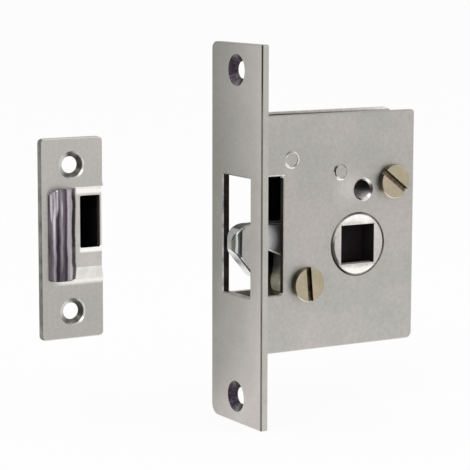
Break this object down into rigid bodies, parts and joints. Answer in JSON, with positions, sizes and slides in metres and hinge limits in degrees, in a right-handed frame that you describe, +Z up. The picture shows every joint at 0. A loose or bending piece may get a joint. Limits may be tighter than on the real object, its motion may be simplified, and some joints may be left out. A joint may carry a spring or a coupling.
{
  "type": "sliding door lock",
  "caption": "Small mortice hook lock for a sliding door: slotted forend, two-plate case, square-holed follower, swinging hook and a separate pressed keep.",
  "frame": {"origin": "centre of the forend's back face, midway between its two screw holes", "axes": "+X into the door, +Y across the door's thickness away from the cover, +Z up"},
  "size_m": [0.0821, 0.022, 0.076],
  "materials": {
    "satin_nickel": "satin nickel plate",
    "bright_nickel": "polished nickel plate",
    "screw_metal": "pale turned metal, dull",
    "hook_steel": "polished steel",
    "inner_steel": "plain steel",
    "spring_steel": "blued spring steel",
    "black_plastic": "black moulded plastic"
  },
  "bodies": {
    "case": {"forend": "satin_nickel", "cover_plate": "satin_nickel", "back_plate": "satin_nickel", "upper_pillar": "inner_steel", "lower_pillar": "inner_steel", "upper_cover_screw": "screw_metal", "lower_cover_screw": "screw_metal", "front_spring_pin": "satin_nickel", "rear_spring_pin": "satin_nickel", "fixing_bush": "bright_nickel", "detent_spring": "spring_steel", "keep": "bright_nickel", "keep_box": "black_plastic"},
    "follower": {"hub": "bright_nickel", "crank_pin": "inner_steel"},
    "hook": {"hook_bolt": "hook_steel"}
  },
  "joints": [
    {"name": "follower_turn", "type": "hinge", "parent": "case", "child": "follower", "pos_m": [0.0244, 0, -0.0031], "axis": [0, 1, 0], "range_deg": [0, 77]},
    {"name": "hook_swing", "type": "hinge", "parent": "follower", "child": "hook", "pos_m": [0.02399, 0, -0.01239], "axis": [0, -1, 0], "range_deg": [0, 107]}
  ],
  "couplings": [
    {"joint": "hook_swing", "follows": "follower_turn", "ratio": 1.3896}
  ]
}
